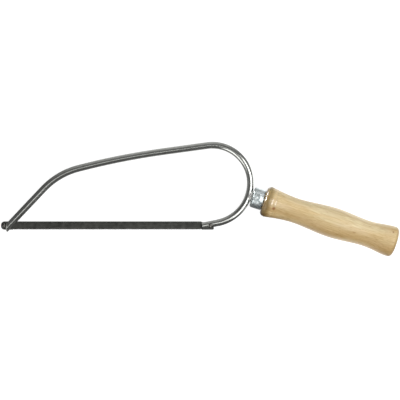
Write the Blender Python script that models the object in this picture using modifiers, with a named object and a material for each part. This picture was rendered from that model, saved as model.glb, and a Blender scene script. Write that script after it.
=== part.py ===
"""Mini hacksaw: a sprung wire bow, a pinned blade and a turned wooden handle on a welded tang.

The saw lies flat. X runs along the blade towards the handle, +Y points away from the teeth and Z is across
the bow. The pieces are modelled about the rear blade pin, on which the blade swings, and a root empty then
carries them so that the middle of the underside is at the world origin.
"""
import math

import bmesh
import bpy
from mathutils import Vector

# Blade and pins
PIN_SPAN = 0.150
PIN_DIAMETER = 0.0025
PIN_LENGTH = 0.0070
PIN_CHAMFER = 0.0003
BLADE_HEIGHT = 0.0060
BLADE_THICKNESS = 0.00065
BLADE_OVERHANG = 0.0023
BLADE_FRONT_CORNER = 0.0020
BLADE_REAR_CORNER = 0.0007
TOOTH_PITCH = 0.0008
TOOTH_DEPTH = 0.0005
TOOTH_LEAN = 0.0002
TOOTH_MARGIN = 0.0070
SET_BAND = 0.0026
SET_SWING = 0.00018
SET_WAVELENGTH = 0.0080

# Bow, bent from one round wire
WIRE_DIAMETER = 0.0050
LEG_SLOPE = 46.6
NOSE_RADIUS = 0.0528
SWEEP_SLOPE = 14.6
SWEEP_RADIUS = 0.537
TOP_SLOPE = 7.84
LOOP_RADIUS = 0.0276
HEEL_RADIUS = 0.0294
HOOK_SLOPE = 11.2
HOOK_STRAIGHT = 0.0115
HOOK_LENGTH = 0.0060
HOOK_RISE = 0.0009
SEAT_SETBACK = 0.0018
FRONT_TAIL = 0.0041
FRONT_SLIT = 0.0180
REAR_SLIT = 0.0115
FLAT_TILT = 42.0
FLAT_DEPTH = 0.00046

# Tang, ferrule and handle, with each run of the handle measured along its axis
HANDLE_DROP = 17.8
TANG_DIAMETER = 0.0050
TANG_STRAIGHT = 0.0200
TANG_LENGTH = 0.0560
TANG_POINT = 0.0040
TANG_TIP_DIAMETER = 0.0030
WELD_DIAMETER = 0.0070
WELD_RUN = 0.0025
FERRULE_DIAMETER = 0.0150
FERRULE_LENGTH = 0.0086
FERRULE_WALL = 0.0009
FERRULE_EDGE = 0.0016
FERRULE_LIP = 0.0008
COLLAR_RUN = 0.0033
WAIST_RUN = 0.0203
BELLY_RUN = 0.0290
WRIST_RUN = 0.0255
FLARE_RUN = 0.0195
BUTT_RUN = 0.0030
COLLAR_DIAMETER = 0.0224
WAIST_DIAMETER = 0.0179
BELLY_DIAMETER = 0.0219
WRIST_DIAMETER = 0.0187
FLARE_DIAMETER = 0.0224
COLLAR_EDGE = 0.0025
BUTT_EDGE = 0.0042
COLLAR_TAPER = -0.16

# Fits
GAP = 0.0003
SLIT_CLEARANCE = 0.0003

WIRE_RADIUS = WIRE_DIAMETER / 2
PIN_RADIUS = PIN_DIAMETER / 2
TANG_RADIUS = TANG_DIAMETER / 2
CUT_REACH = WIRE_DIAMETER + PIN_LENGTH
SLIT_WIDTH = BLADE_THICKNESS + 2 * SLIT_CLEARANCE

WIRE_BEVEL_RESOLUTION = 6
ARC_STEP = 6.0
LONG_ARC_STEP = 2.0
TURNED_STEPS = 32
PIN_SIDES = 20
CURVE_POINTS = 8
CORNER_POINTS = 5
CORNER_SEGMENTS = 4
COPE_STEPS = 4
MERGE = 0.00001


def clear_scene():
    for obj in list(bpy.data.objects):
        bpy.data.objects.remove(obj, do_unlink=True)


def add_collection(name):
    collection = bpy.data.collections.new(name)
    bpy.context.scene.collection.children.link(collection)
    return collection


def add_material(name, colour, metallic, roughness):
    material = bpy.data.materials.new(name)
    material.use_nodes = True
    shader = material.node_tree.nodes["Principled BSDF"]
    shader.inputs["Base Color"].default_value = (*colour, 1.0)
    shader.inputs["Metallic"].default_value = metallic
    shader.inputs["Roughness"].default_value = roughness
    return material


def add_empty(name, parent=None):
    empty = bpy.data.objects.new(name, None)
    empty.empty_display_size = WIRE_DIAMETER
    PARTS.objects.link(empty)
    empty.parent = parent
    return empty


def add_part(name, mesh, material, parent):
    part = bpy.data.objects.new(name, mesh)
    mesh.materials.append(material)
    PARTS.objects.link(part)
    part.parent = parent
    return part


def add_cutter(name, mesh, parent):
    cutter = bpy.data.objects.new(name, mesh)
    cutter.hide_render = True
    cutter.display_type = "WIRE"
    CUTTERS.objects.link(cutter)
    cutter.parent = parent
    return cutter


def cut(part, cutter):
    boolean = part.modifiers.new(cutter.name, "BOOLEAN")
    boolean.operation = "DIFFERENCE"
    boolean.solver = "EXACT"
    boolean.object = cutter


def smooth(mesh, angle=40.0):
    mesh.shade_smooth()
    mesh.set_sharp_from_angle(angle=math.radians(angle))


def direction(slope):
    """Unit vector in the saw's plane, with the slope in degrees above +X."""
    return Vector((math.cos(math.radians(slope)), math.sin(math.radians(slope)), 0.0))


def box_mesh(name, size):
    mesh = bpy.data.meshes.new(name)
    bm = bmesh.new()
    bmesh.ops.create_cube(bm, size=1.0)
    bmesh.ops.scale(bm, vec=size, verts=bm.verts)
    bm.to_mesh(mesh)
    bm.free()
    return mesh


def cylinder_mesh(name, radius, length, sides, chamfer=0.0):
    """Closed cylinder along Z, with both rims chamfered where a chamfer is given."""
    mesh = bpy.data.meshes.new(name)
    bm = bmesh.new()
    bmesh.ops.create_cone(bm, cap_ends=True, segments=sides, radius1=radius, radius2=radius, depth=length)
    if chamfer:
        rims = [edge for edge in bm.edges if edge.verts[0].co.z * edge.verts[1].co.z > 0]
        bmesh.ops.bevel(bm, geom=rims, offset=chamfer, segments=1, affect="EDGES")
    bm.to_mesh(mesh)
    bm.free()
    return mesh


def curve_to_mesh(curve, name):
    """Mesh of a curve, with its loose caps welded on."""
    holder = bpy.data.objects.new(name, curve)
    bpy.context.scene.collection.objects.link(holder)
    depsgraph = bpy.context.evaluated_depsgraph_get()
    mesh = bpy.data.meshes.new_from_object(holder.evaluated_get(depsgraph))
    mesh.name = name
    bpy.data.objects.remove(holder, do_unlink=True)
    bm = bmesh.new()
    bm.from_mesh(mesh)
    bmesh.ops.remove_doubles(bm, verts=bm.verts, dist=MERGE)
    bmesh.ops.recalc_face_normals(bm, faces=bm.faces)
    bm.to_mesh(mesh)
    bm.free()
    return mesh


def add_points(curve, points, cyclic):
    spline = curve.splines.new("POLY")
    spline.points.add(len(points) - 1)
    for point, place in zip(spline.points, points):
        point.co = (*place, 1.0)
    spline.use_cyclic_u = cyclic


def wire_mesh(name, points, radius):
    curve = bpy.data.curves.new(name, "CURVE")
    curve.dimensions = "3D"
    curve.twist_mode = "Z_UP"
    curve.bevel_depth = radius
    curve.bevel_resolution = WIRE_BEVEL_RESOLUTION
    curve.use_fill_caps = True
    add_points(curve, points, cyclic=False)
    return curve_to_mesh(curve, name)


def outline_mesh(name, points, thickness):
    curve = bpy.data.curves.new(name, "CURVE")
    curve.dimensions = "2D"
    curve.fill_mode = "BOTH"
    curve.extrude = thickness / 2
    add_points(curve, points, cyclic=True)
    return curve_to_mesh(curve, name)


def turned_mesh(name, profile, closed):
    """Profile of (radius, height) points in the XZ plane, to be turned by a Screw modifier."""
    mesh = bpy.data.meshes.new(name)
    points = [(radius, 0.0, height) for radius, height in profile]
    edges = [(i, i + 1) for i in range(len(points) - 1)]
    if closed:
        edges.append((len(points) - 1, 0))
    mesh.from_pydata(points, edges, [])
    return mesh


def turn(part):
    screw = part.modifiers.new("turned", "SCREW")
    screw.axis = "Z"
    screw.angle = math.tau
    screw.steps = TURNED_STEPS
    screw.render_steps = TURNED_STEPS
    screw.use_merge_vertices = True
    screw.merge_threshold = MERGE
    screw.use_smooth_shade = True


def right_turn(radius, slope_in, slope_out):
    """Displacement along an arc that turns clockwise from one slope to a lower one."""
    a, b = math.radians(slope_in), math.radians(slope_out)
    return radius * Vector((math.sin(a) - math.sin(b), math.cos(b) - math.cos(a), 0.0))


def arc_points(start, radius, slope_in, slope_out, step):
    """Points after the start along a clockwise arc, the last one at its end."""
    count = max(2, math.ceil((slope_in - slope_out) / step))
    slopes = [slope_in + (slope_out - slope_in) * i / count for i in range(1, count + 1)]
    return [start + right_turn(radius, slope_in, slope) for slope in slopes]


def bow_path():
    """Centreline of the wire from the front tip to the rear hook, and the centre of the heel bend.

    The front leg and the top run take the lengths that bring the bends to both ends of the blade.
    """
    leg, top, hook = direction(LEG_SLOPE), direction(TOP_SLOPE), direction(HOOK_SLOPE)
    hook_exit = HOOK_SLOPE - 180.0
    at_blade = Vector((SEAT_X + SEAT_SETBACK, 0.0, 0.0))
    above_pin = HOOK_RISE * direction(HOOK_SLOPE + 90.0)
    hook_start = above_pin + (HOOK_STRAIGHT - HOOK_LENGTH) * hook

    bends = right_turn(NOSE_RADIUS, LEG_SLOPE, SWEEP_SLOPE)
    bends += right_turn(SWEEP_RADIUS, SWEEP_SLOPE, TOP_SLOPE)
    bends += right_turn(LOOP_RADIUS, TOP_SLOPE, -90.0)
    bends += right_turn(HEEL_RADIUS, -90.0, hook_exit)
    reach = hook_start - at_blade - bends
    spread = leg.x * top.y - leg.y * top.x
    leg_run = (reach.x * top.y - reach.y * top.x) / spread
    top_run = (leg.x * reach.y - leg.y * reach.x) / spread

    path = [at_blade - FRONT_TAIL * leg, at_blade + leg_run * leg]
    path += arc_points(path[-1], NOSE_RADIUS, LEG_SLOPE, SWEEP_SLOPE, ARC_STEP)
    path += arc_points(path[-1], SWEEP_RADIUS, SWEEP_SLOPE, TOP_SLOPE, LONG_ARC_STEP)
    path.append(path[-1] + top_run * top)
    path += arc_points(path[-1], LOOP_RADIUS, TOP_SLOPE, -90.0, ARC_STEP)
    heel_centre = path[-1] - Vector((HEEL_RADIUS, 0.0, 0.0))
    path += arc_points(path[-1], HEEL_RADIUS, -90.0, hook_exit, ARC_STEP)
    path.append(above_pin - HOOK_LENGTH * hook)
    return path, heel_centre


def add_slit(bow, name, wire_end, inward, length):
    """Slit for the blade, cut along the wire from one of its ends."""
    cutter = add_cutter(name, box_mesh(name, (length + CUT_REACH, CUT_REACH, SLIT_WIDTH)), bow.parent)
    cutter.location = wire_end + (length - CUT_REACH) / 2 * inward
    cutter.rotation_euler.z = math.atan2(inward.y, inward.x)
    cut(bow, cutter)


def press_flats(bow, wire_end):
    """Flats on the inner side of the front end, one above the slit and one below it."""
    inward = direction(LEG_SLOPE - 90.0)
    along = wire_end + (FRONT_SLIT - CUT_REACH) / 2 * direction(LEG_SLOPE)
    tilt = math.radians(FLAT_TILT)
    for name, lean in (("front_flat_above", tilt), ("front_flat_below", math.pi - tilt)):
        normal = math.sin(lean) * inward + Vector((0.0, 0.0, math.cos(lean)))
        flat = add_cutter(name, box_mesh(name, (FRONT_SLIT + CUT_REACH, CUT_REACH, CUT_REACH)), bow.parent)
        flat.location = along + (WIRE_RADIUS - FLAT_DEPTH + CUT_REACH / 2) * normal
        flat.rotation_euler = (lean, 0.0, math.radians(LEG_SLOPE))
        cut(bow, flat)


def build_bow(path, root):
    mesh = wire_mesh("bow_frame", path, WIRE_RADIUS)
    smooth(mesh)
    bow = add_part("bow_frame", mesh, PLATED_WIRE, root)
    add_slit(bow, "front_slit", path[0], direction(LEG_SLOPE), FRONT_SLIT)
    add_slit(bow, "rear_slit", path[-1], direction(HOOK_SLOPE), REAR_SLIT)
    press_flats(bow, path[0])

    seat_size = (CUT_REACH, 2 * CUT_REACH, CUT_REACH)
    seat = add_cutter("front_pin_seat", box_mesh("front_pin_seat", seat_size), root)
    seat.location = (SEAT_X - CUT_REACH / 2, 0.0, 0.0)
    cut(bow, seat)

    notch_radius = PIN_RADIUS + GAP
    top = [notch_radius * direction(180.0 * i / CURVE_POINTS) for i in range(CURVE_POINTS + 1)]
    sides = [Vector((-notch_radius, -CUT_REACH, 0.0)), Vector((notch_radius, -CUT_REACH, 0.0))]
    notch = add_cutter("rear_pin_notch", outline_mesh("rear_pin_notch", top + sides, CUT_REACH), root)
    cut(bow, notch)
    return bow


def blade_columns():
    """Places along the blade: each is (x, depth cut into the lower edge, share of the set)."""
    front, rear = -PIN_SPAN - BLADE_OVERHANG, BLADE_OVERHANG
    first = -PIN_SPAN + TOOTH_MARGIN
    count = round((PIN_SPAN - 2 * TOOTH_MARGIN) / TOOTH_PITCH)
    columns = [(front, 0.0, 0.0), (first - TOOTH_PITCH, 0.0, 0.0)]
    for i in range(count):
        gullet = first + i * TOOTH_PITCH
        columns.append((gullet, TOOTH_DEPTH, 1.0))
        columns.append((gullet + TOOTH_LEAN, 0.0, 1.0))
    columns += [(first + count * TOOTH_PITCH, 0.0, 0.0), (rear, 0.0, 0.0)]
    return columns


def build_blade(root):
    """Toothed strip: a sheet whose lower edge is cut into raked teeth and set in a wave, then thickened."""
    columns = blade_columns()
    low, high = -BLADE_HEIGHT / 2, BLADE_HEIGHT / 2
    bm = bmesh.new()
    bmesh.ops.create_grid(bm, x_segments=len(columns) - 1, y_segments=2, size=1.0)
    for vert in bm.verts:
        x, depth, share = columns[round((vert.co.x + 1) / 2 * (len(columns) - 1))]
        row = round(vert.co.y + 1)
        swing = SET_SWING * share * math.sin(math.tau * x / SET_WAVELENGTH)
        vert.co = [(x, low + depth, swing), (x, low + SET_BAND, 0.0), (x, high, 0.0)][row]
    for end, corner in ((columns[0][0], BLADE_FRONT_CORNER), (columns[-1][0], BLADE_REAR_CORNER)):
        corners = [v for v in bm.verts if abs(v.co.x - end) < MERGE and len(v.link_edges) == 2]
        bmesh.ops.bevel(
            bm, geom=corners, offset=corner, segments=CORNER_SEGMENTS, profile=0.5, affect="VERTICES"
        )
    mesh = bpy.data.meshes.new("saw_blade")
    bm.to_mesh(mesh)
    bm.free()
    blade = add_part("saw_blade", mesh, BLADE_STEEL, root)
    solidify = blade.modifiers.new("thickness", "SOLIDIFY")
    solidify.thickness = BLADE_THICKNESS
    solidify.offset = 0.0
    for name, x in (("front_pin_hole", -PIN_SPAN), ("rear_pin_hole", 0.0)):
        hole = add_cutter(name, cylinder_mesh(name, PIN_RADIUS + GAP, PIN_LENGTH, PIN_SIDES), root)
        hole.location.x = x
        cut(blade, hole)
    return blade


def build_pin(name, parent, x):
    mesh = cylinder_mesh(name, PIN_RADIUS, PIN_LENGTH, PIN_SIDES, PIN_CHAMFER)
    smooth(mesh)
    pin = add_part(name, mesh, PIN_STEEL, parent)
    pin.location.x = x
    return pin


def build_tang(axis, root, heel_centre):
    """Rod drawn to a point in the wood, with a domed weld bead that is coped round the back of the loop."""
    tip = TANG_TIP_DIAMETER / 2
    profile = [
        (0.0, TANG_LENGTH),
        (tip / 2, TANG_LENGTH),
        (tip, TANG_LENGTH - TANG_POINT),
        (TANG_RADIUS, TANG_STRAIGHT),
        (TANG_RADIUS, -GAP),
    ]
    for i in range(CORNER_POINTS):
        a = math.pi / 2 * i / CORNER_POINTS
        profile.append((WELD_DIAMETER / 2 * math.cos(a), -GAP - (WELD_RUN - GAP) * math.sin(a)))
    profile.append((0.0, -WELD_RUN))
    tang = add_part("tang", turned_mesh("tang", profile, closed=False), TANG_STEEL, axis)
    turn(tang)
    around = [-HANDLE_DROP + ARC_STEP * i for i in range(-COPE_STEPS, COPE_STEPS + 1)]
    bend = [heel_centre + HEEL_RADIUS * direction(slope) for slope in around]
    cope = add_cutter("tang_cope", wire_mesh("tang_cope", bend, WIRE_RADIUS + GAP), root)
    cut(tang, cope)
    slivers = tang.modifiers.new("slivers_merged", "WELD")
    slivers.merge_threshold = MERGE
    return tang


def build_ferrule(axis):
    """Drawn cup with a rounded front edge and lip, holed for the tang and open at the back."""
    outer = FERRULE_DIAMETER / 2
    inner = outer - FERRULE_WALL
    hole = TANG_RADIUS + GAP
    edge = FERRULE_EDGE
    lip = min(FERRULE_LIP, FERRULE_WALL - MERGE)
    quarter = [math.pi / 2 * i / CORNER_POINTS for i in range(CORNER_POINTS + 1)]
    profile = [(outer - lip + lip * math.sin(a), FERRULE_LENGTH - lip + lip * math.cos(a)) for a in quarter]
    profile += [(outer - edge + edge * math.cos(a), edge - edge * math.sin(a)) for a in quarter]
    profile += [(hole, 0.0), (hole, FERRULE_WALL), (inner, FERRULE_WALL), (inner, FERRULE_LENGTH)]
    ferrule = add_part("ferrule", turned_mesh("ferrule", profile, closed=True), ZINC, axis)
    turn(ferrule)
    return ferrule


def blend(low, high):
    """Points from one (radius, height, taper) station of the handle up to the next, the last left out."""
    (r0, z0, s0), (r1, z1, s1) = low, high
    run = z1 - z0
    points = []
    for i in range(CURVE_POINTS):
        u = i / CURVE_POINTS
        radius = (2 * u**3 - 3 * u**2 + 1) * r0 + (u**3 - 2 * u**2 + u) * run * s0
        radius += (3 * u**2 - 2 * u**3) * r1 + (u**3 - u**2) * run * s1
        points.append((radius, z0 + u * run))
    return points


def handle_profile():
    """Turned profile from the middle of the butt, along the grip and the tenon, to the end of the bore."""
    shoulder = FERRULE_LENGTH + GAP
    z = shoulder + COLLAR_RUN
    stations = [(COLLAR_DIAMETER / 2, z, COLLAR_TAPER)]
    grip = (
        (WAIST_DIAMETER, WAIST_RUN),
        (BELLY_DIAMETER, BELLY_RUN),
        (WRIST_DIAMETER, WRIST_RUN),
        (FLARE_DIAMETER, FLARE_RUN),
    )
    for diameter, run in grip:
        z += run
        stations.append((diameter / 2, z, 0.0))
    butt = z + BUTT_RUN

    quarter = [math.pi / 2 * i / CORNER_POINTS for i in range(CORNER_POINTS + 1)]
    collar_low = COLLAR_DIAMETER / 2 - COLLAR_EDGE
    upward = [
        (collar_low + COLLAR_EDGE * math.sin(a), shoulder + COLLAR_RUN * (1 - math.cos(a)))
        for a in quarter[:-1]
    ]
    for low, high in zip(stations, stations[1:]):
        upward += blend(low, high)
    flare_low = FLARE_DIAMETER / 2 - BUTT_EDGE
    upward += [(flare_low + BUTT_EDGE * math.cos(a), z + BUTT_RUN * math.sin(a)) for a in quarter]

    tenon = FERRULE_DIAMETER / 2 - FERRULE_WALL - GAP
    tenon_front = FERRULE_WALL + GAP
    tip = TANG_TIP_DIAMETER / 2 + GAP
    profile = [(0.0, butt), *reversed(upward)]
    profile += [(tenon, shoulder), (tenon, tenon_front)]
    profile += [
        (TANG_RADIUS + GAP, tenon_front),
        (TANG_RADIUS + GAP, TANG_STRAIGHT),
        (tip, TANG_LENGTH - TANG_POINT),
        (tip, TANG_LENGTH + GAP),
        (0.0, TANG_LENGTH + GAP + tip),
    ]
    return profile


def build_handle(axis):
    handle = add_part("handle", turned_mesh("handle", handle_profile(), closed=False), BEECH, axis)
    turn(handle)
    return handle


def stand_on_origin(root, parts):
    """Moves the root so that the middle of the assembly's underside is at the origin."""
    bpy.context.view_layer.update()
    depsgraph = bpy.context.evaluated_depsgraph_get()
    corners = []
    for part in parts:
        evaluated = part.evaluated_get(depsgraph)
        corners += [evaluated.matrix_world @ vert.co for vert in evaluated.data.vertices]
    lowest = [min(corner[i] for corner in corners) for i in range(3)]
    highest = [max(corner[i] for corner in corners) for i in range(3)]
    root.location = (-(lowest[0] + highest[0]) / 2, -(lowest[1] + highest[1]) / 2, -lowest[2])
    bpy.context.view_layer.update()
    print("size", [round(high - low, 5) for low, high in zip(lowest, highest)])


clear_scene()
PARTS = add_collection("mini_hacksaw")
CUTTERS = add_collection("mini_hacksaw_cutters")
PLATED_WIRE = add_material("nickel_plated_wire", (0.66, 0.66, 0.67), 1.0, 0.14)
BLADE_STEEL = add_material("blackened_blade_steel", (0.052, 0.053, 0.050), 0.6, 0.45)
PIN_STEEL = add_material("bright_pin_steel", (0.30, 0.30, 0.29), 1.0, 0.35)
TANG_STEEL = add_material("bare_tang_steel", (0.34, 0.34, 0.34), 1.0, 0.40)
ZINC = add_material("zinc_plated_cup", (0.58, 0.62, 0.63), 1.0, 0.22)
BEECH = add_material("varnished_beech", (0.61, 0.44, 0.24), 0.0, 0.38)

SEAT_X = -PIN_SPAN + PIN_RADIUS + GAP
ROOT = add_empty("mini_hacksaw_root")
WIRE_PATH, HEEL_CENTRE = bow_path()
HANDLE_DIRECTION = direction(-HANDLE_DROP)
HANDLE_AXIS = add_empty("handle_axis", ROOT)
HANDLE_AXIS.location = HEEL_CENTRE + (HEEL_RADIUS + WIRE_RADIUS + GAP) * HANDLE_DIRECTION
HANDLE_AXIS.rotation_euler = HANDLE_DIRECTION.to_track_quat("Z", "Y").to_euler()

BLADE = build_blade(ROOT)
ALL_PARTS = [
    build_bow(WIRE_PATH, ROOT),
    BLADE,
    build_pin("front_blade_pin", BLADE, -PIN_SPAN),
    build_pin("rear_blade_pin", ROOT, 0.0),
    build_tang(HANDLE_AXIS, ROOT, HEEL_CENTRE),
    build_ferrule(HANDLE_AXIS),
    build_handle(HANDLE_AXIS),
]
stand_on_origin(ROOT, ALL_PARTS)
print("rear pin", [round(value, 5) for value in ROOT.location])
print("ferrule front", [round(value, 5) for value in HANDLE_AXIS.matrix_world.translation])
print("handle direction", [round(value, 5) for value in HANDLE_DIRECTION])
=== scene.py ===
"""Mini hacksaw: the finished look of its bow, blade, pins, tang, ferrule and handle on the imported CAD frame.

Every length is in metres and every angle in degrees. Places are measured from the rear blade pin, with X
along the blade towards the handle, Y away from the teeth and Z up across the bow, or along the handle's axis
from the front of the ferrule.
"""
import math

import bmesh
import bpy
import numpy as np
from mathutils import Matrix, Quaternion, Vector


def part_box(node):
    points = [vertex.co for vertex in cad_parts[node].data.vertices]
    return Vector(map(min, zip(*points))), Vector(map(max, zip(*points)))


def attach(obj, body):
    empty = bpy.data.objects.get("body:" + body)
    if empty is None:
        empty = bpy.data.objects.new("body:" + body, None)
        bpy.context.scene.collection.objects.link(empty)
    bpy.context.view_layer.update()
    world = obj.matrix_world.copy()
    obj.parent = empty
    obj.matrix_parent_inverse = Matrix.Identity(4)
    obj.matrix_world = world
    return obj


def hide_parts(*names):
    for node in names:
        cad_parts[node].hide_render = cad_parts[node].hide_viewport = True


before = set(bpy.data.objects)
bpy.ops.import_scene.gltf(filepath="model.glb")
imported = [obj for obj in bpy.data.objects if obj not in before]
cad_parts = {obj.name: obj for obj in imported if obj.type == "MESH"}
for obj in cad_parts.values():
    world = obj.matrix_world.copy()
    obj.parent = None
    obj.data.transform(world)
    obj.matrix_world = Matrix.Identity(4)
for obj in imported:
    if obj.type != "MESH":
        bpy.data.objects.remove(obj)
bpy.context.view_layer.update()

# Blade and pins
PIN_SPAN = 0.150
PIN_RADIUS = 0.00125
PIN_LENGTH = 0.0070
PIN_CHAMFER = 0.0003
PIN_RIM = PIN_RADIUS / 4
PIN_DIMPLE_WALL = PIN_RADIUS / 5
PIN_DIMPLE = 0.00025
PIN_FIT = 0.00005
BLADE_HEIGHT = 0.0060
BLADE_THICKNESS = 0.00065
BLADE_OVERHANG = 0.0023
BLADE_FRONT_CORNER = 0.0025
BLADE_REAR_CORNER = 0.0007
BLADE_EDGE = 0.0001
BLADE_RELIEF = 0.0006
TOOTH_PITCH = 0.0008
TOOTH_DEPTH = 0.0005
TOOTH_LEAN = 0.0002
TOOTH_MARGIN = 0.0070
SET_BAND = 0.0026
SET_SWING = 0.00018
SET_WAVELENGTH = 0.0080

# Bow
WIRE_RADIUS = 0.00248
LEG_SLOPE = 46.6
NOSE_RADIUS = 0.0528
SWEEP_SLOPE = 14.6
SWEEP_RADIUS = 0.537
TOP_SLOPE = 7.84
LOOP_RADIUS = 0.0276
HEEL_RADIUS = 0.0294
HOOK_SLOPE = 11.2
HOOK_STRAIGHT = 0.0115
HOOK_LENGTH = 0.0060
HOOK_RISE = 0.0009
SEAT_GAP = 0.0003
SEAT_SETBACK = 0.0018
FRONT_TAIL = 0.0041
FRONT_SLIT = 0.0180
REAR_SLIT = 0.0115
SLIT_CLEARANCE = 0.0006
SLIT_WIDTH = BLADE_THICKNESS + SLIT_CLEARANCE
FLAT_TILT = 42.0
FLAT_DEPTH = 0.00036
BURR = 0.00012
FILED_END = 0.0010
CUT_REACH = 0.012

# Handle end, with each run of the handle measured along its axis
HANDLE_DROP = 17.8
JOINT_GAP = 0.0003
TANG_RADIUS = 0.0025
FERRULE_RADIUS = 0.00749
FERRULE_LENGTH = 0.0086
FERRULE_WALL = 0.0009
FERRULE_EDGE = 0.0016
FERRULE_LIP = 0.0008
COLLAR_RUN = 0.0033
COLLAR_RADIUS = 0.01119
COLLAR_EDGE = 0.0025
COLLAR_TAPER = -0.16
# Place and height of each turned ring, how far it spreads, and the share of a run over which it may rise
TURNED_RINGS = ((0.0140, 0.00012), (0.0163, 0.00008))
RING_SPREAD = 0.0009
RING_FADE = 0.25
# Radius at the end of each run of the grip, and the length of the run
GRIP = ((0.00894, 0.0203), (0.01094, 0.0290), (0.00934, 0.0255), (0.01117, 0.0195))
BUTT_RUN = 0.00298
BUTT_EDGE = 0.0042
BORE_END = 0.0578
BEAD = (0.0024, 0.0040, 0.0037)
BEAD_SETBACK = 0.0012
BEAD_LUMPS = 0.0009
BEAD_LUMP_WIDTH = 0.0016

# Beech, by distance along the handle's axis, above it and out of the saw's plane
# Reach above and below the handle's axis of the painted sheen and shade across the grip
PAINTED_SHEEN_REACH = 0.011
SHADE_AND_VARNISH_START = 0.0088
SHADE_AND_VARNISH_END = 0.0212
# What each metre adds to the paleness of the wood above the axis, partly sapwood and partly painted light on
# the upper side, and to the ray flecks in each direction
SAPWOOD_AND_LIGHT_RISE = 24.0
FLECK_RISE = (0.4, -8.0, 0.0)
# Place of each pin knot, and the reach of the stain round it
PIN_KNOTS = (((0.0171, -0.0035, 0.0098), 0.0016), ((0.1046, 0.0067, 0.0089), 0.0009))

# Meshes
WIRE_SIDES = 48
TURNED_SIDES = 96
PIN_SIDES = 40
CUTTER_SIDES = 32
SMOOTH_ANGLE = 30.0
LUMPY_ANGLE = 50.0
# Distances under which places count as the same, cuts leave a sliver, faces are level and points touch
SAME = 0.00005
SLIVER = 0.00004
LEVEL = 0.000005
TOUCHING = 0.000001


def direction(slope):
    """Unit vector in the saw's plane, with the slope above +X."""
    return Vector((math.cos(math.radians(slope)), math.sin(math.radians(slope)), 0.0))


def middle(node):
    low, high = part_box(node)
    return (low + high) / 2


REAR_PIN = middle("rear_blade_pin")
FRONT_PIN = middle("front_blade_pin")


# Modelling by hand

def begin(name, add_primitive, **place):
    """Adds a primitive with nothing else selected, and puts its place into its mesh."""
    bpy.ops.object.select_all(action="DESELECT")
    add_primitive(**place)
    piece = bpy.context.object
    piece.name = piece.data.name = name
    bpy.ops.object.transform_apply(location=True, rotation=True, scale=True)
    return piece


def take(piece):
    bpy.ops.object.select_all(action="DESELECT")
    piece.select_set(True)
    bpy.context.view_layer.objects.active = piece


def edit(piece):
    take(piece)
    bpy.ops.object.mode_set(mode="EDIT")
    bpy.ops.mesh.select_mode(type="VERT")
    bpy.ops.mesh.select_all(action="SELECT")


def leave_edit():
    bpy.ops.object.mode_set(mode="OBJECT")


def pick(test, kind="VERT"):
    """Selects the points, edges or faces whose middle passes the test."""
    bpy.ops.mesh.select_mode(type=kind)
    bpy.ops.mesh.select_all(action="DESELECT")
    mesh = bpy.context.edit_object.data
    bm = bmesh.from_edit_mesh(mesh)
    if kind == "VERT":
        for vert in bm.verts:
            vert.select_set(test(vert.co))
    elif kind == "EDGE":
        for edge in bm.edges:
            edge.select_set(test((edge.verts[0].co + edge.verts[1].co) / 2))
    else:
        for face in bm.faces:
            face.select_set(test(face.calc_center_median()))
    bm.select_flush_mode()
    bmesh.update_edit_mesh(mesh)


def pull(step):
    bpy.ops.mesh.extrude_region_move(TRANSFORM_OT_translate={"value": step})


def shift(step):
    bpy.ops.transform.translate(value=step)


def face_outwards():
    bpy.ops.mesh.select_all(action="SELECT")
    bpy.ops.mesh.remove_doubles(threshold=TOUCHING)
    bpy.ops.mesh.normals_make_consistent(inside=False)


def finish_with(piece, kind, **settings):
    """Adds a modifier with its settings and applies it."""
    take(piece)
    modifier = piece.modifiers.new(kind, kind)
    for key, value in settings.items():
        setattr(modifier, key, value)
    bpy.ops.object.modifier_apply(modifier=modifier.name)


def carve(piece, cutter):
    finish_with(piece, "BOOLEAN", operation="DIFFERENCE", solver="EXACT", object=cutter)
    bpy.data.objects.remove(cutter, do_unlink=True)


def cutting_block(size, centre, rotation=(0.0, 0.0, 0.0)):
    return begin(
        "cutter",
        bpy.ops.mesh.primitive_cube_add,
        size=1.0,
        scale=size,
        location=centre,
        rotation=rotation,
    )


def cutting_rod(radius, centre):
    return begin(
        "cutter",
        bpy.ops.mesh.primitive_cylinder_add,
        vertices=CUTTER_SIDES,
        radius=radius,
        depth=CUT_REACH,
        location=centre,
    )


def clear_slivers(piece):
    """Merges the points that cuts leave next to each other, so that the edges can be rounded evenly."""
    edit(piece)
    bpy.ops.mesh.remove_doubles(threshold=SLIVER)
    bpy.ops.mesh.dissolve_degenerate(threshold=SLIVER)
    leave_edit()


def smooth(piece, angle=SMOOTH_ANGLE):
    take(piece)
    bpy.ops.object.shade_smooth_by_angle(angle=math.radians(angle))


# Bow

def turned_by(radius, slope_in, slope_out):
    """Displacement along a bend that turns clockwise from one slope to a lower one."""
    a, b = math.radians(slope_in), math.radians(slope_out)
    return radius * Vector((math.sin(a) - math.sin(b), math.cos(b) - math.cos(a), 0.0))


HOOK_EXIT = HOOK_SLOPE - 180.0
SEAT_X = -PIN_SPAN + PIN_RADIUS + SEAT_GAP
NOSE = (NOSE_RADIUS, LEG_SLOPE, SWEEP_SLOPE)
SWEEP = (SWEEP_RADIUS, SWEEP_SLOPE, TOP_SLOPE)
LOOP = (LOOP_RADIUS, TOP_SLOPE, -90.0)
HEEL = (HEEL_RADIUS, -90.0, HOOK_EXIT)


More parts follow.
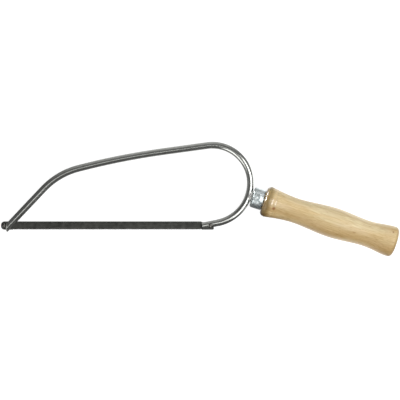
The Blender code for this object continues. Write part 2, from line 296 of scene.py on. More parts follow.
def bow_runs():
    """Front tip, and the straight runs of leg and top that bring the bends to both ends of the blade."""
    leg, top, hook = direction(LEG_SLOPE), direction(TOP_SLOPE), direction(HOOK_SLOPE)
    at_blade = Vector((SEAT_X + SEAT_SETBACK, 0.0, 0.0))
    hook_start = HOOK_RISE * direction(HOOK_SLOPE + 90.0) + (HOOK_STRAIGHT - HOOK_LENGTH) * hook
    reach = hook_start - at_blade
    for bend in (NOSE, SWEEP, LOOP, HEEL):
        reach -= turned_by(*bend)
    spread = leg.x * top.y - leg.y * top.x
    leg_run = (reach.x * top.y - reach.y * top.x) / spread
    top_run = (leg.x * reach.y - leg.y * reach.x) / spread
    return REAR_PIN + at_blade - FRONT_TAIL * leg, FRONT_TAIL + leg_run, top_run


TIP, LEG_RUN, TOP_RUN = bow_runs()
HOOK_END = REAR_PIN + HOOK_RISE * direction(HOOK_SLOPE + 90.0) - HOOK_LENGTH * direction(HOOK_SLOPE)


def bend_wire():
    """Draws one length of wire out along the leg and bends it round to the hook.

    Also gives the line that its middle follows, and the centre of the heel.
    """
    wire = begin(
        "bow_wire",
        bpy.ops.mesh.primitive_circle_add,
        vertices=WIRE_SIDES,
        radius=WIRE_RADIUS,
        fill_type="NOTHING",
        location=TIP,
        rotation=(0.0, math.pi / 2, math.radians(LEG_SLOPE)),
    )
    edit(wire)
    centreline = [TIP.copy()]

    def run(length, slope):
        pull(length * direction(slope))
        centreline.append(centreline[-1] + length * direction(slope))

    def bend(radius, slope_in, slope_out, steps):
        start = centreline[-1]
        centre = start + radius * direction(slope_in - 90.0)
        angle = math.radians(slope_in - slope_out)
        bpy.ops.mesh.spin(steps=steps, angle=angle, center=centre, axis=(0.0, 0.0, 1.0))
        for i in range(1, steps + 1):
            slope = slope_in + (slope_out - slope_in) * i / steps
            centreline.append(start + turned_by(radius, slope_in, slope))

    run(LEG_RUN, LEG_SLOPE)
    bend(*NOSE, steps=16)
    bend(*SWEEP, steps=12)
    run(TOP_RUN, TOP_SLOPE)
    bend(*LOOP, steps=48)
    heel_centre = centreline[-1] + HEEL_RADIUS * direction(180.0)
    bend(*HEEL, steps=48)
    run(HOOK_STRAIGHT, HOOK_EXIT)
    bpy.ops.mesh.select_all(action="SELECT")
    bpy.ops.mesh.fill_holes(sides=0)
    face_outwards()
    leave_edit()
    return wire, centreline, heel_centre


def slit(wire, end, slope, length):
    """Saw cut for the blade, along the wire from one of its ends."""
    centre = end + (length - CUT_REACH) / 2 * direction(slope)
    size = (length + CUT_REACH, CUT_REACH, SLIT_WIDTH)
    carve(wire, cutting_block(size, centre, (0.0, 0.0, math.radians(slope))))


def flatten_front(wire):
    """Flats pressed on the inner side of the front end, above and below the slit."""
    inward = direction(LEG_SLOPE - 90.0)
    along = TIP + (FRONT_SLIT - CUT_REACH) / 2 * direction(LEG_SLOPE)
    size = (FRONT_SLIT + CUT_REACH, CUT_REACH, CUT_REACH)
    tilt = math.radians(FLAT_TILT)
    for side in (1, -1):
        normal = math.sin(tilt) * inward + Vector((0.0, 0.0, side * math.cos(tilt)))
        centre = along + (WIRE_RADIUS - FLAT_DEPTH + CUT_REACH / 2) * normal
        rotation = (tilt if side > 0 else math.pi - tilt, 0.0, math.radians(LEG_SLOPE))
        carve(wire, cutting_block(size, centre, rotation))


def seat_pins(wire):
    """Upright face behind the front pin, and a notch over the rear pin that is open below."""
    centre = REAR_PIN + Vector((SEAT_X - CUT_REACH / 2, 0.0, 0.0))
    carve(wire, cutting_block((CUT_REACH, 2 * CUT_REACH, CUT_REACH), centre))
    notch = cutting_rod(PIN_RADIUS + SEAT_GAP, REAR_PIN)
    edit(notch)
    pick(lambda place: place.y < REAR_PIN.y - SAME)
    shift((0.0, -CUT_REACH, 0.0))
    leave_edit()
    carve(wire, notch)


def note_drawing(wire, centreline):
    """Keeps each point's distance along the wire and place in its section, for the lines of the draw die."""
    line = np.array([list(point) for point in centreline])
    steps = np.diff(line, axis=0)
    lengths = np.linalg.norm(steps, axis=1)
    starts = np.concatenate([[0.0], np.cumsum(lengths)])
    points = np.array([list(vert.co) for vert in wire.data.vertices])
    best = np.full(len(points), 1.0)
    drawn = np.zeros((len(points), 3))
    for start, origin, step, length in zip(starts, line, steps, lengths):
        unit = step / length
        along = np.clip((points - origin) @ unit, 0.0, length)
        off = points - origin - along[:, None] * unit
        away = np.linalg.norm(off, axis=1)
        nearer = away < best
        best[nearer] = away[nearer]
        across = off @ np.array([-unit[1], unit[0], 0.0])
        drawn[nearer] = np.stack([start + along, across, off[:, 2]], axis=1)[nearer]
    layer = wire.data.attributes.new("drawn", "FLOAT_VECTOR", "POINT")
    layer.data.foreach_set("vector", drawn.astype(np.float32).ravel())


bow_wire, CENTRELINE, HEEL_CENTRE = bend_wire()
slit(bow_wire, TIP, LEG_SLOPE, FRONT_SLIT)
slit(bow_wire, HOOK_END, HOOK_SLOPE, REAR_SLIT)
flatten_front(bow_wire)
seat_pins(bow_wire)
clear_slivers(bow_wire)
smooth(bow_wire)
finish_with(
    bow_wire,
    "BEVEL",
    width=BURR,
    segments=2,
    limit_method="ANGLE",
    angle_limit=math.radians(SMOOTH_ANGLE),
    harden_normals=True,
)
note_drawing(bow_wire, CENTRELINE)


# Blade

BLADE_LOW = REAR_PIN.y - BLADE_HEIGHT / 2
BLADE_BACK = BLADE_LOW + BLADE_HEIGHT
SET_LINE = BLADE_LOW + SET_BAND
FIRST_GULLET = REAR_PIN.x - PIN_SPAN + TOOTH_MARGIN
TOOTHED_RUN = PIN_SPAN - 2 * TOOTH_MARGIN
LAST_GULLET = FIRST_GULLET + TOOTHED_RUN
PLAIN_RUN = TOOTH_MARGIN + BLADE_OVERHANG


def toothed_wave():
    """One wave of the set: ten raked teeth on the strip's lower edge, swung to one side, then the other."""
    columns = 2 * round(SET_WAVELENGTH / TOOTH_PITCH)
    wave = begin(
        "toothed_blade",
        bpy.ops.mesh.primitive_grid_add,
        x_subdivisions=columns,
        y_subdivisions=2,
        size=SET_WAVELENGTH,
        location=(FIRST_GULLET + SET_WAVELENGTH / 2, REAR_PIN.y, REAR_PIN.z),
    )
    edit(wave)
    bpy.ops.transform.resize(value=(1.0, BLADE_HEIGHT / SET_WAVELENGTH, 1.0), center_override=REAR_PIN)
    pick(lambda place: abs(place.y - REAR_PIN.y) < SAME)
    shift((0.0, SET_BAND - BLADE_HEIGHT / 2, 0.0))
    for column in range(columns + 1):
        x = FIRST_GULLET + column * TOOTH_PITCH / 2
        tip = column % 2 == 1
        lean = TOOTH_LEAN - TOOTH_PITCH / 2 if tip else 0.0
        swing = SET_SWING * math.sin(math.tau * (x + lean - REAR_PIN.x) / SET_WAVELENGTH)
        pick(lambda place: abs(place.x - x) < SAME and place.y < BLADE_LOW + SAME)
        shift((lean, 0.0 if tip else TOOTH_DEPTH, swing))
    leave_edit()
    return wave


def plain_end(gullet, step, corner, relief=0.0):
    """Draws the strip on past a gullet to its plain end, and rounds the corners there.

    The teeth and their set die out over one pitch, where the back steps down by the relief.
    """
    fade = math.copysign(TOOTH_PITCH, step)
    start = gullet + fade
    end = gullet + step
    pick(lambda place: abs(place.x - gullet) < SAME)
    pull((fade, 0.0, 0.0))
    bpy.ops.transform.resize(value=(1.0, 1.0, 0.0), center_override=REAR_PIN)
    pick(lambda place: abs(place.x - start) < SAME and place.y < BLADE_LOW + SET_BAND / 2)
    shift((0.0, -TOOTH_DEPTH, 0.0))
    pick(lambda place: abs(place.x - start) < SAME and place.y > REAR_PIN.y + SAME)
    shift((0.0, -relief, 0.0))
    pick(lambda place: abs(place.x - start) < SAME)
    pull((step - fade, 0.0, 0.0))
    pick(lambda place: abs(place.x - end) < SAME and abs(place.y - SET_LINE) > 2 * SAME)
    bpy.ops.mesh.bevel(offset=corner, segments=8, affect="VERTICES", profile=0.5)


def on_back(place):
    """Whether the middle of an edge lies along the back of the blade, on either side."""
    return abs(place.y - BLADE_BACK) < LEVEL and abs(place.z - REAR_PIN.z) > SAME


saw_blade = toothed_wave()
finish_with(
    saw_blade,
    "ARRAY",
    count=round(TOOTHED_RUN / SET_WAVELENGTH),
    use_relative_offset=False,
    use_constant_offset=True,
    constant_offset_displace=(SET_WAVELENGTH, 0.0, 0.0),
    use_merge_vertices=True,
    merge_threshold=SAME,
)
edit(saw_blade)
plain_end(FIRST_GULLET, -PLAIN_RUN, BLADE_FRONT_CORNER)
plain_end(LAST_GULLET, PLAIN_RUN, BLADE_REAR_CORNER, BLADE_RELIEF)
face_outwards()
leave_edit()
finish_with(saw_blade, "SOLIDIFY", thickness=BLADE_THICKNESS, offset=0.0)
edit(saw_blade)
pick(on_back, "EDGE")
bpy.ops.mesh.bevel(offset=BLADE_EDGE, segments=2, affect="EDGES")
face_outwards()
leave_edit()
for pin_place in (FRONT_PIN, REAR_PIN):
    carve(saw_blade, cutting_rod(PIN_RADIUS + PIN_FIT, pin_place))
smooth(saw_blade)


def blade_pin(name, centre):
    """Hardened pin with chamfered ends, each with the dimple left by cropping."""
    pin = begin(
        name,
        bpy.ops.mesh.primitive_cylinder_add,
        vertices=PIN_SIDES,
        radius=PIN_RADIUS,
        depth=PIN_LENGTH,
        location=centre,
    )
    edit(pin)
    for side in (1, -1):
        end = centre.z + side * PIN_LENGTH / 2
        pick(lambda place: abs(place.z - end) < SAME, "FACE")
        bpy.ops.mesh.bevel(offset=PIN_CHAMFER, segments=3, affect="EDGES")
        pick(lambda place: abs(place.z - end) < LEVEL, "FACE")
        bpy.ops.mesh.inset(thickness=PIN_RIM)
        bpy.ops.mesh.inset(thickness=PIN_DIMPLE_WALL, depth=-PIN_DIMPLE)
    face_outwards()
    leave_edit()
    smooth(pin)
    return pin


front_pin = blade_pin("front_cross_pin", FRONT_PIN)
rear_pin = blade_pin("rear_cross_pin", REAR_PIN)


# Handle end

HANDLE_ALONG = direction(-HANDLE_DROP)
HANDLE_UP = direction(90.0 - HANDLE_DROP)
FERRULE_FRONT = HEEL_CENTRE + (HEEL_RADIUS + TANG_RADIUS + JOINT_GAP) * HANDLE_ALONG
SHOULDER = FERRULE_LENGTH + JOINT_GAP
TANG_HOLE = TANG_RADIUS + JOINT_GAP
CUP_BORE = FERRULE_RADIUS - FERRULE_WALL


def on_handle(along, up, out=0.0):
    return FERRULE_FRONT + along * HANDLE_ALONG + up * HANDLE_UP + Vector((0.0, 0.0, out))


def turn(name, profile):
    """Turns a profile of (distance along the handle's axis, radius) points round that axis."""
    piece = begin(name, bpy.ops.mesh.primitive_plane_add, size=SAME, location=on_handle(*profile[0]))
    edit(piece)
    bpy.ops.mesh.merge(type="CENTER")
    for (along, radius), (next_along, next_radius) in zip(profile, profile[1:]):
        pull((next_along - along) * HANDLE_ALONG + (next_radius - radius) * HANDLE_UP)
    bpy.ops.mesh.select_all(action="SELECT")
    bpy.ops.mesh.spin(steps=TURNED_SIDES, angle=math.tau, center=FERRULE_FRONT, axis=HANDLE_ALONG)
    face_outwards()
    leave_edit()
    smooth(piece)
    return piece


def quarter(centre_along, centre_radius, run, edge, start, points=8):
    """Points of a rounded edge over a quarter turn that starts forwards, at 0, or outwards, at 90."""
    angles = [math.radians(start + 90.0 * i / points) for i in range(points + 1)]
    return [(centre_along - run * math.cos(a), centre_radius + edge * math.sin(a)) for a in angles]


def blend(start, end, points=32):
    """Points from one (distance, radius, taper) station of the grip to the next, the last left out."""
    (z0, r0, s0), (z1, r1, s1) = start, end
    run = z1 - z0
    line = []
    for i in range(points):
        u = i / points
        radius = (2 * u**3 - 3 * u**2 + 1) * r0 + (u**3 - 2 * u**2 + u) * run * s0
        radius += (3 * u**2 - 2 * u**3) * r1 + (u**3 - u**2) * run * s1
        along = z0 + u * run
        for ring, height in TURNED_RINGS:
            radius += height * math.exp(-(((along - ring) / RING_SPREAD) ** 2)) * min(1.0, u / RING_FADE)
        line.append((along, radius))
    return line


def ferrule_profile():
    """Drawn cup: from the back of its bore over the rounded lip and front edge to the hole for the tang."""
    lip_along, lip_radius = FERRULE_LENGTH - FERRULE_LIP, FERRULE_RADIUS - FERRULE_LIP
    lip = quarter(lip_along, lip_radius, FERRULE_LIP, FERRULE_LIP, 90.0)
    front = quarter(FERRULE_EDGE, FERRULE_RADIUS - FERRULE_EDGE, FERRULE_EDGE, FERRULE_EDGE, 0.0)
    profile = [(FERRULE_WALL, CUP_BORE), (FERRULE_LENGTH, CUP_BORE), *reversed(lip), *reversed(front)]
    profile += [(0.0, TANG_HOLE), (FERRULE_WALL, TANG_HOLE), (FERRULE_WALL, CUP_BORE)]
    return profile


def handle_profile():
    """Turned grip: from the tang hole over tenon, shoulder, collar and grip to the middle of the butt."""
    ridge = SHOULDER + COLLAR_RUN
    stations = [(ridge, COLLAR_RADIUS, COLLAR_TAPER)]
    for radius, run in GRIP:
        stations.append((stations[-1][0] + run, radius, 0.0))
    flare_end, flare_radius, _ = stations[-1]
    tenon_front, tenon = FERRULE_WALL + JOINT_GAP, CUP_BORE - JOINT_GAP
    profile = [(BORE_END, 0.0), (BORE_END, TANG_HOLE), (tenon_front, TANG_HOLE)]
    profile += [(tenon_front, tenon), (SHOULDER, tenon)]
    profile += quarter(ridge, COLLAR_RADIUS - COLLAR_EDGE, COLLAR_RUN, COLLAR_EDGE, 0.0)[:-1]
    for start, end in zip(stations, stations[1:]):
        profile += blend(start, end)
    profile += quarter(flare_end, flare_radius - BUTT_EDGE, BUTT_RUN, BUTT_EDGE, 90.0)
    profile.append((flare_end + BUTT_RUN, 0.0))
    return profile


def weld():
    """Lumpy bead that joins the tang to the back of the loop, ground off flush with the ferrule."""
    bead = begin(
        "weld_bead",
        bpy.ops.mesh.primitive_uv_sphere_add,
        segments=40,
        ring_count=24,
        radius=1.0,
        scale=BEAD,
        location=on_handle(-BEAD_SETBACK, 0.0),
        rotation=(0.0, 0.0, math.radians(-HANDLE_DROP)),
    )
    lumps = bpy.data.textures.new("weld_lumps", "CLOUDS")
    lumps.noise_scale = BEAD_LUMP_WIDTH
    finish_with(bead, "DISPLACE", texture=lumps, texture_coords="LOCAL", strength=BEAD_LUMPS, mid_level=0.5)
    edit(bead)
    bpy.ops.mesh.bisect(plane_co=FERRULE_FRONT, plane_no=HANDLE_ALONG, use_fill=True, clear_outer=True)
    face_outwards()
    leave_edit()
    smooth(bead, LUMPY_ANGLE)
    return bead


ferrule = turn("ferrule_cup", ferrule_profile())
handle = turn("wooden_handle", handle_profile())
weld_bead = weld()


# Finishes

# Most of a noise lies between these levels
NOISE_RANGE = {"From Min": 0.3, "From Max": 0.7}
# Sockets of a node that mixes two colours
MIX_FIRST = 6
MIX_SECOND = 7
MIX_RESULT = 2


def linear(hex_colour):
    """An sRGB hex colour as linear red, green, blue and full alpha."""
    shares = [int(hex_colour[i : i + 2], 16) / 255 for i in (1, 3, 5)]
    return (*[s / 12.92 if s <= 0.04045 else ((s + 0.055) / 1.055) ** 2.4 for s in shares], 1.0)


def add(tree, kind, sockets=None, stops=(), **settings):
    """Adds a node with its settings, colour stops and the values or links of its sockets."""
    node = tree.nodes.new(kind)
    for key, value in settings.items():
        setattr(node, key, value)
    for i, (place, colour) in enumerate(stops):
        ramp = node.color_ramp.elements
        stop = ramp[i] if i < len(ramp) else ramp.new(place)
        stop.position, stop.color = place, linear(colour)
    for key, value in (sockets or {}).items():
        if isinstance(value, bpy.types.NodeSocket):
            tree.links.new(value, node.inputs[key])
        else:
            node.inputs[key].default_value = value
    return node


def new_finish(name, **sockets):
    """A material with its principled shader's own sockets set, each named with _ for a space."""
    material = bpy.data.materials.new(name)
    material.use_nodes = True
    shader = material.node_tree.nodes["Principled BSDF"]
    for key, value in sockets.items():
        shader.inputs[key.replace("_", " ")].default_value = value
    return material, material.node_tree, shader


def feed(tree, shader, **outputs):
    """Links outputs of other nodes to the shader's sockets, each named with _ for a space."""
    for key, output in outputs.items():
        tree.links.new(output, shader.inputs[key.replace("_", " ")])


def nickel_plated_wire():
    # Bright nickel over cold-drawn steel wire: a mirror skin with faint lines from the draw die, and haze.
    material, tree, shader = new_finish("nickel_plated_drawn_wire", Metallic=1.0)
    drawn = add(tree, "ShaderNodeAttribute", attribute_name="drawn").outputs["Vector"]
    # Die lines run for about 40 mm and lie 0.4 mm apart, coarser than the real ones so that they show.
    stretched = add(tree, "ShaderNodeMapping", {"Vector": drawn, "Scale": (25.0, 2500.0, 2500.0)})
    lines = add(tree, "ShaderNodeTexNoise", {"Vector": stretched.outputs[0], "Scale": 1.0, "Detail": 2.0})
    # Haze gathers in patches about 3 mm across.
    haze = add(tree, "ShaderNodeTexNoise", {"Vector": drawn, "Scale": 330.0, "Detail": 3.0})
    colour = add(
        tree, "ShaderNodeValToRGB", {"Fac": haze.outputs[0]}, stops=((0.3, "#c0c1bb"), (0.7, "#d2d4d0"))
    )
    skin = add(
        tree,
        "ShaderNodeMapRange",
        {"Value": lines.outputs[0], **NOISE_RANGE, "To Min": 0.08, "To Max": 0.2},
    )
    # The plating is filed through over the last millimetre before the upright cut behind the front pin.
    place = add(tree, "ShaderNodeTexCoord").outputs["Object"]
    cut = REAR_PIN.x + SEAT_X
    filed = add(
        tree,
        "ShaderNodeMapRange",
        {
            "Value": add(tree, "ShaderNodeSeparateXYZ", {0: place}).outputs["X"],
            "From Min": cut + FILED_END / 2,
            "From Max": cut + FILED_END,
            "To Min": 0.5,
            "To Max": 0.0,
        },
    )
    rough = add(tree, "ShaderNodeMath", {0: skin.outputs[0], 1: filed.outputs[0]}, operation="ADD")
    bump = add(
        tree, "ShaderNodeBump", {"Height": lines.outputs[0], "Strength": 0.15, "Distance": 0.00002}
    )
    feed(tree, shader, Base_Color=colour.outputs[0], Roughness=rough.outputs[0], Normal=bump.outputs[0])
    return material


def plated_weld():
    # Nickel over a weld left as it set: bright ripples with dull hollows, browned by the heat.
    material, tree, shader = new_finish("nickel_plated_weld", Metallic=1.0)
    place = add(tree, "ShaderNodeTexCoord").outputs["Object"]
    # Ripples about 1 mm across.
    ripple = add(tree, "ShaderNodeTexNoise", {"Vector": place, "Scale": 900.0, "Detail": 2.0})
    colour = add(
        tree,
        "ShaderNodeValToRGB",
        {"Fac": ripple.outputs[0]},
        stops=((0.3, "#a39d94"), (0.4, "#dedcd7"), (0.52, "#f6f5f3")),
    )
    rough = add(
        tree,
        "ShaderNodeMapRange",
        {"Value": ripple.outputs[0], **NOISE_RANGE, "To Min": 0.65, "To Max": 0.4},
    )
    bump = add(tree, "ShaderNodeBump", {"Height": ripple.outputs[0], "Strength": 0.5, "Distance": 0.0003})
    feed(tree, shader, Base_Color=colour.outputs[0], Roughness=rough.outputs[0], Normal=bump.outputs[0])
    return material


def blackened_blade():
    # Hardened carbon steel strip, blackened by heat treatment: dull grey-black, clouded, with roll lines.
    material, tree, shader = new_finish("blackened_blade_strip", Metallic=0.35, Roughness=0.5)
    place = add(tree, "ShaderNodeTexCoord").outputs["Object"]
    # Roll lines 0.3 mm apart and 20 mm long.
    stretched = add(tree, "ShaderNodeMapping", {"Vector": place, "Scale": (50.0, 3300.0, 400.0)})
    lines = add(tree, "ShaderNodeTexNoise", {"Vector": stretched.outputs[0], "Scale": 1.0, "Detail": 3.0})
    # Clouds of oxide about 2.5 mm across.
    clouds = add(tree, "ShaderNodeTexNoise", {"Vector": place, "Scale": 400.0, "Detail": 4.0})
    both = add(tree, "ShaderNodeMath", {0: lines.outputs[0], 1: clouds.outputs[0]}, operation="ADD")
    mean = add(tree, "ShaderNodeMath", {0: both.outputs[0], 1: 0.5}, operation="MULTIPLY")
    colour = add(
        tree, "ShaderNodeValToRGB", {"Fac": mean.outputs[0]}, stops=((0.34, "#2b2c29"), (0.66, "#51524d"))
    )
    bump = add(tree, "ShaderNodeBump", {"Height": lines.outputs[0], "Strength": 0.2, "Distance": 0.00002})
    feed(tree, shader, Base_Color=colour.outputs[0], Normal=bump.outputs[0])
    return material


def pin_steel():
    # Hard steel wire cropped to length: bright torn ends with dark oily grime in the hollows.
    material, tree, shader = new_finish("cropped_pin_steel", Metallic=1.0, Roughness=0.35)
    place = add(tree, "ShaderNodeTexCoord").outputs["Object"]
    # Grime in patches about 0.7 mm across.
    grime = add(tree, "ShaderNodeTexNoise", {"Vector": place, "Scale": 1500.0, "Detail": 3.0})
    colour = add(
        tree, "ShaderNodeValToRGB", {"Fac": grime.outputs[0]}, stops=((0.4, "#33312d"), (0.64, "#b9b7b1"))
    )
    feed(tree, shader, Base_Color=colour.outputs[0])
    return material


def zinc_plate():
    # Zinc plated on a drawn steel cup and passivated blue: bright but uneven, mottled and slightly dented.
    material, tree, shader = new_finish("blue_zinc_plated_cup", Metallic=1.0)
    place = add(tree, "ShaderNodeTexCoord").outputs["Object"]
    # Mottles about 1.5 mm across.
    mottle = add(tree, "ShaderNodeTexNoise", {"Vector": place, "Scale": 650.0, "Detail": 3.0})
    colour = add(
        tree,
        "ShaderNodeValToRGB",
        {"Fac": mottle.outputs[0]},
        stops=((0.3, "#aebcc0"), (0.5, "#dde6e6"), (0.7, "#f1f5f4")),
    )
    rough = add(
        tree,
        "ShaderNodeMapRange",
        {"Value": mottle.outputs[0], **NOISE_RANGE, "To Min": 0.24, "To Max": 0.42},
    )
    # Dents about 3 mm across.
    dents = add(tree, "ShaderNodeTexNoise", {"Vector": place, "Scale": 350.0, "Detail": 1.0})
    bump = add(tree, "ShaderNodeBump", {"Height": dents.outputs[0], "Strength": 0.6, "Distance": 0.0004})
    feed(tree, shader, Base_Color=colour.outputs[0], Roughness=rough.outputs[0], Normal=bump.outputs[0])
    return material


def grain_and_sheen_tones(tree, grain, split, fibres):
    """Tones of the fibres and the ray flecks of the beech, and the painted sheen and shade across the grip's
    height.
    """
    # Painted sheen and shade across the grip's height: lighter high up where the light falls and near the
    # lower edge where the floor throws light up, darker about the axis.
    height_on_grip = add(
        tree,
        "ShaderNodeMapRange",
        {"Value": split.outputs["Y"], "From Min": -PAINTED_SHEEN_REACH, "From Max": PAINTED_SHEEN_REACH},
    )
    painted_sheen_across_grip = add(
        tree,
        "ShaderNodeValToRGB",
        {"Fac": height_on_grip.outputs[0]},
        stops=(
            (0.06, "#f5f4f2"),
            (0.12, "#ffffff"),
            (0.2, "#fcfbf9"),
            (0.31, "#f5f3ef"),
            (0.4, "#edeae4"),
            (0.5, "#f1eee8"),
            (0.59, "#fbfaf8"),
            (0.69, "#ffffff"),
            (0.79, "#f9f2ea"),
        ),
    )
    streaked = add(
        tree, "ShaderNodeValToRGB", {"Fac": fibres}, stops=((0.3, "#e6dccb"), (0.7, "#ffffff"))
    )
    # Ray flecks 4 mm long, drawn 0.7 mm wide so that they show, closer low on the grip and near its butt.
    short = add(tree, "ShaderNodeMapping", {"Vector": grain, "Scale": (250.0, 1400.0, 1400.0)})
    rays = add(tree, "ShaderNodeTexNoise", {"Vector": short.outputs[0], "Scale": 1.0, "Detail": 1.0})
    low = add(tree, "ShaderNodeVectorMath", {0: grain, 1: FLECK_RISE}, operation="DOT_PRODUCT")
    closer = add(tree, "ShaderNodeMath", {0: low.outputs["Value"], 1: rays.outputs[0]}, operation="ADD")
    flecked = add(
        tree, "ShaderNodeValToRGB", {"Fac": closer.outputs[0]}, stops=((0.66, "#ffffff"), (0.84, "#dcc7a4"))
    )
    return [painted_sheen_across_grip, streaked, flecked]


def collar_shade_and_varnish(tree, split):
    """Painted shade that darkens the collar over its first 6 mm beside the ferrule, and the weight of the
    handle's varnish.

    The varnish lies thick on the front edge of the collar and on the backs of its two turned rings.
    """
    collar = add(
        tree,
        "ShaderNodeMapRange",
        {"Value": split.outputs["X"], "From Min": SHADE_AND_VARNISH_START, "From Max": SHADE_AND_VARNISH_END},
    )
    # Painted shade: the collar darkened over its first 6 mm, next to the ferrule.
    collar_painted_shade = add(
        tree,
        "ShaderNodeValToRGB",
        {"Fac": collar.outputs[0]},
        stops=(
            (0.0, "#a79d80"),
            (0.14, "#a59e86"),
            (0.27, "#aca58e"),
            (0.4, "#d6d0bf"),
            (0.5, "#ffffff"),
        ),
    )
    varnish = add(
        tree,
        "ShaderNodeValToRGB",
        {"Fac": collar.outputs[0]},
        stops=(
            (0.13, "#f4f4f4"),
            (0.17, "#505050"),
            (0.43, "#505050"),
            (0.47, "#e4e4e4"),
            (0.51, "#e4e4e4"),
            (0.55, "#505050"),
            (0.64, "#505050"),
            (0.68, "#e4e4e4"),
            (0.7, "#e4e4e4"),
            (0.74, "#505050"),
        ),
    )
    return collar_painted_shade, varnish


def knot_tones(tree, grain):
    """Tone of the stain round each pin knot."""
    tones = []
    for knot, reach in PIN_KNOTS:
        away = add(tree, "ShaderNodeVectorMath", {0: grain, 1: knot}, operation="DISTANCE")
        stain = add(tree, "ShaderNodeMapRange", {"Value": away.outputs["Value"], "From Max": reach})
        tone = add(
            tree,
            "ShaderNodeValToRGB",
            {"Fac": stain.outputs[0]},
            stops=((0.0, "#b58676"), (0.5, "#d8bba6"), (1.0, "#ffffff")),
        )
        tones.append(tone)
    return tones


def varnished_beech():
    # Turned beech under clear varnish: pale gold with a soft sheen, palest on its upper side, partly sapwood
    # and partly painted light, with streaks along the grain, short brown ray flecks, painted sheen and shade
    # across the grip, and a collar darkened by painted shade beside the ferrule.
    material, tree, shader = new_finish(
        "varnished_turned_beech", Roughness=0.4, Coat_Roughness=0.12, Coat_IOR=1.9
    )
    place = add(tree, "ShaderNodeTexCoord").outputs["Object"]
    grain = add(
        tree,
        "ShaderNodeMapping",
        {"Vector": place, "Location": FERRULE_FRONT, "Rotation": (0.0, 0.0, math.radians(-HANDLE_DROP))},
        vector_type="TEXTURE",
    ).outputs[0]
    split = add(tree, "ShaderNodeSeparateXYZ", {0: grain})
    # Growth streaks about 5 mm wide and 80 mm long, and paler wood on the upper side: partly sapwood, partly
    # painted light falling on that side.
    broad = add(tree, "ShaderNodeMapping", {"Vector": grain, "Scale": (12.0, 200.0, 200.0)})
    streaks = add(tree, "ShaderNodeTexNoise", {"Vector": broad.outputs[0], "Scale": 1.0, "Detail": 3.0})
    # Paler towards the upper side: sapwood, and painted light on that side.
    sapwood_and_painted_light = add(
        tree,
        "ShaderNodeMath",
        {0: split.outputs["Y"], 1: SAPWOOD_AND_LIGHT_RISE, 2: streaks.outputs[0]},
        operation="MULTIPLY_ADD",
    )
    wood = add(
        tree,
        "ShaderNodeValToRGB",
        {"Fac": sapwood_and_painted_light.outputs[0]},
        stops=((0.2, "#d7b781"), (0.5, "#edd5a3"), (0.8, "#fff5d0")),
    ).outputs[0]
    # Fibres 0.5 mm wide and 25 mm long.
    fine = add(tree, "ShaderNodeMapping", {"Vector": grain, "Scale": (40.0, 2000.0, 2000.0)})
    fibres = add(
        tree, "ShaderNodeTexNoise", {"Vector": fine.outputs[0], "Scale": 1.0, "Detail": 2.0}
    ).outputs[0]
    collar_painted_shade, varnish = collar_shade_and_varnish(tree, split)
    # Multiplies into the wood its grain, the painted sheen and shade across the grip, the painted shade of the
    # collar and the knots.
    for tone in (*grain_and_sheen_tones(tree, grain, split, fibres), collar_painted_shade, *knot_tones(tree, grain)):
        mixed = add(
            tree,
            "ShaderNodeMix",
            {0: 1.0, MIX_FIRST: wood, MIX_SECOND: tone.outputs[0]},
            data_type="RGBA",
            blend_type="MULTIPLY",
        )
        wood = mixed.outputs[MIX_RESULT]
    bump = add(tree, "ShaderNodeBump", {"Height": fibres, "Strength": 0.1, "Distance": 0.00005})
    feed(tree, shader, Base_Color=wood, Coat_Weight=varnish.outputs[0], Normal=bump.outputs[0])
    return material


PIN_STEEL = pin_steel()
WELD = plated_weld()
DRESSING = (
    (bow_wire, "saw_frame", "bow_frame", "plated_wire", nickel_plated_wire()),
    (saw_blade, "blade", "saw_blade", "blade_steel", blackened_blade()),
    (front_pin, "blade", "front_blade_pin", "pin_steel", PIN_STEEL),
    (rear_pin, "rear_pin", "rear_blade_pin", "pin_steel", PIN_STEEL),
    (ferrule, "saw_frame", "ferrule", "zinc_plate", zinc_plate()),
    (handle, "saw_frame", "handle", "beech", varnished_beech()),
)
for piece, body, node, slot, material in DRESSING:
    piece.data.materials.append(material)
    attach(piece, body)
    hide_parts(node)
weld_bead.data.materials.append(WELD)
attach(weld_bead, "saw_frame")
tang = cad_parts["tang"]
tang.data.materials.clear()
tang.data.materials.append(WELD)


# Studio

WHITE = linear("#ffffff")
CEILING_GREY = linear("#686868")
FLOOR_GREY = linear("#959595")
FLOOR_GLOW = 0.9
FLOOR_BOUNCE = 0.14
FLOOR_SIZE = 30.0
FLOOR_DROP = 0.0001
# Pools of light on the floor beyond the bow, above the ferrule and round the grip: the middle of each, the
# reach of its full light and of its edge, and what it adds to the bounce
POOLS = (
    ((-0.030, 0.085, 0.0), 0.020, 0.125, 0.6),
    ((0.056, 0.018, 0.0), 0.008, 0.020, 1.3),
    ((0.110, -0.020, 0.0), 0.035, 0.060, 1.4),
)


